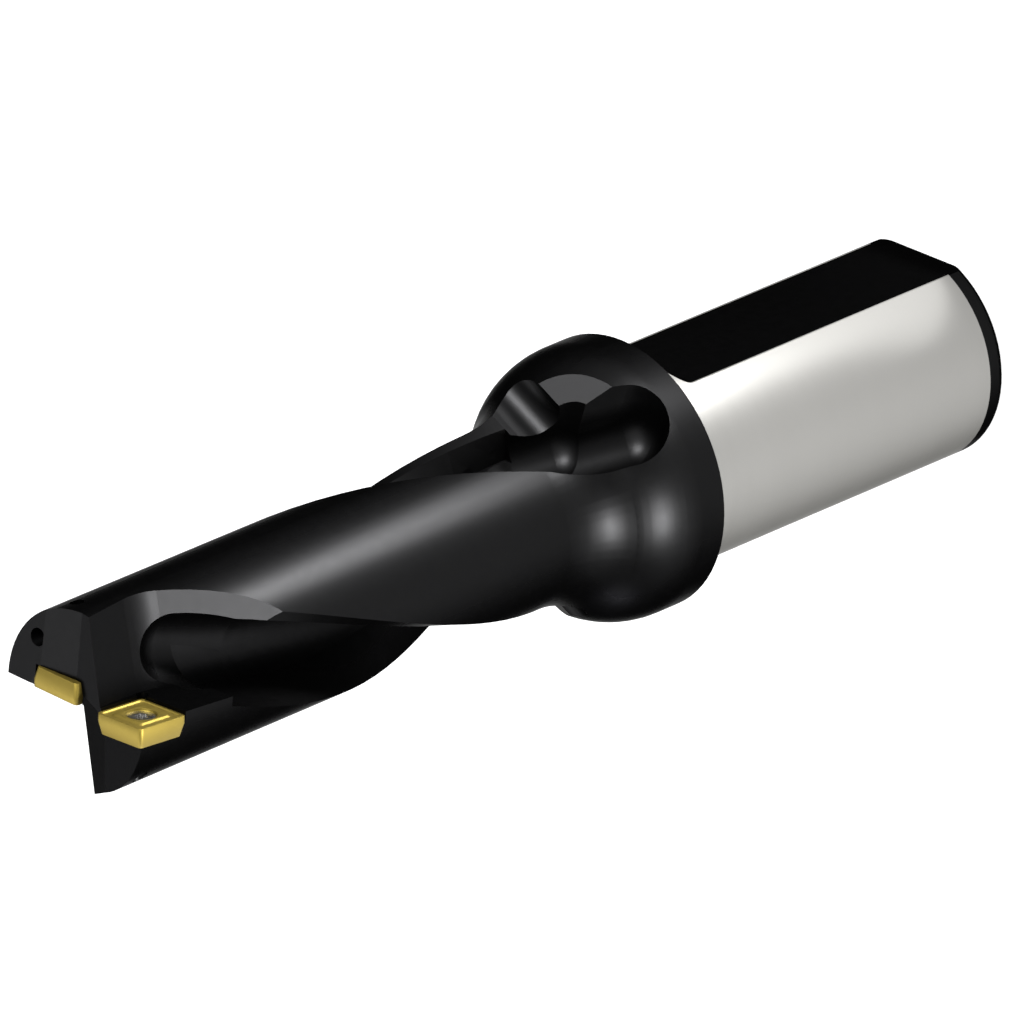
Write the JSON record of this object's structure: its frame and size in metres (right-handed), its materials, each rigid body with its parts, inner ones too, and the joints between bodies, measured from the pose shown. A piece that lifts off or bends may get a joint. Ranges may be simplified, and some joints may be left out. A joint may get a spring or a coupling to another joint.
{
  "type": "indexable drill",
  "caption": "Short indexable drill: fluted black body with seated square inserts, flange, and a cylindrical shank with a clamping flat and an axial coolant bore.",
  "frame": {"origin": "centre of the shank's end face", "axes": "+Z along the drill's axis towards the tip, +X out of the shank's flat, and the peripheral insert on the -Y side"},
  "size_m": [0.04, 0.04, 0.166],
  "materials": {
    "body": "satin",
    "insert": "satin",
    "screw": "satin"
  },
  "bodies": {
    "root": {"drill_body": "body", "peripheral_insert": "insert", "central_insert": "insert", "peripheral_screw": "screw", "central_screw": "screw"}
  },
  "joints": []
}
